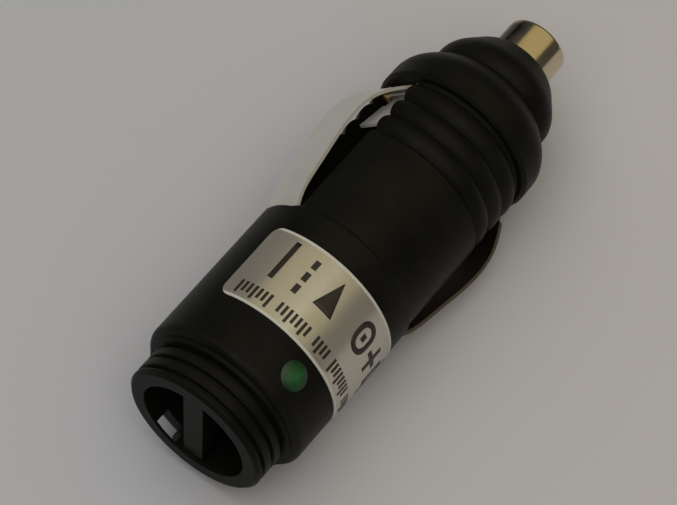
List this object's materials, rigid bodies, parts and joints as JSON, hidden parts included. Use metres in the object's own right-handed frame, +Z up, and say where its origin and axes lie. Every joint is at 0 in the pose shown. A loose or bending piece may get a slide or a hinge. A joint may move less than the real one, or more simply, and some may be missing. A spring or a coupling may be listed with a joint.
{
  "type": "cigarette lighter plug",
  "caption": "Round black lighter-socket plug with sprung side contacts, a screwed nose cap over a fuse and sprung tip contact, a pilot lamp and an open cord end.",
  "frame": {"origin": "middle of the length, on the table under the plug's axis", "axes": "+X forward along the plug's axis toward the tip contact, +Z up as it lies"},
  "size_m": [0.0652, 0.0226, 0.0209],
  "materials": {
    "black_plastic": "slightly glossy moulded black",
    "fibre_washer": "dull insulating fibre",
    "gilt_tip": "polished plated turning",
    "fuse_metal": "bright plated cup",
    "fuse_glass": "clear tube",
    "fuse_wire": "fine tinned wire",
    "spring_steel": "bright drawn wire",
    "brass": "plain stamped brass",
    "nickel_strip": "satin nickel plate",
    "pin_steel": "drawn steel",
    "green_lens": "green diffusing lens",
    "tinned_lead": "tinned lead",
    "board": "paper laminate",
    "resistor_body": "lacquered body",
    "foil": "silver foil with printed shapes"
  },
  "bodies": {
    "barrel_body": {"barrel": "black_plastic", "centre_terminal": "brass", "fuse_spring": "spring_steel", "ground_frame": "brass", "anchor_pin_upper": "pin_steel", "anchor_pin_lower": "pin_steel", "indicator_lamp": "green_lens", "lamp_lead_front": "tinned_lead", "lamp_lead_rear": "tinned_lead", "lamp_board": "board", "lamp_resistor": "resistor_body", "foil_label": "foil"},
    "washer_body": {"nose_washer": "fibre_washer"},
    "cap_body": {"nose_cap": "black_plastic"},
    "plunger_body": {"tip_contact": "gilt_tip", "fuse_cap_front": "fuse_metal", "fuse_cap_rear": "fuse_metal", "fuse_glass": "fuse_glass", "fuse_element": "fuse_wire"},
    "upper_strip_body": {"contact_strip_upper": "nickel_strip"},
    "lower_strip_body": {"contact_strip_lower": "nickel_strip"}
  },
  "joints": [
    {"name": "cap_travel", "type": "slide", "parent": "barrel_body", "child": "washer_body", "axis": [1, 0, 0], "range_m": [0, 0.0036]},
    {"name": "cap_turn", "type": "hinge", "parent": "washer_body", "child": "cap_body", "pos_m": [0.0214, 0, 0.0104], "axis": [1, 0, 0], "range_deg": [0, 865]},
    {"name": "tip_press", "type": "slide", "parent": "washer_body", "child": "plunger_body", "axis": [-1, 0, 0], "range_m": [0, 0.0032], "stiffness_N_per_m": 800, "springref_m": -0.003, "deforming": ["fuse_spring"]},
    {"name": "contact_upper_flex", "type": "hinge", "parent": "barrel_body", "child": "upper_strip_body", "pos_m": [0.0138, 0.00626, 0.01585], "axis": [0, -0.6561, 0.7547], "range_deg": [0, 11], "stiffness_Nm_per_rad": 0.2},
    {"name": "contact_lower_flex", "type": "hinge", "parent": "barrel_body", "child": "lower_strip_body", "pos_m": [0.0138, -0.00626, 0.00495], "axis": [0, 0.6561, -0.7547], "range_deg": [0, 11], "stiffness_Nm_per_rad": 0.2}
  ],
  "couplings": [
    {"joint": "cap_turn", "follows": "cap_travel", "rad_per_m": 4188.8}
  ]
}
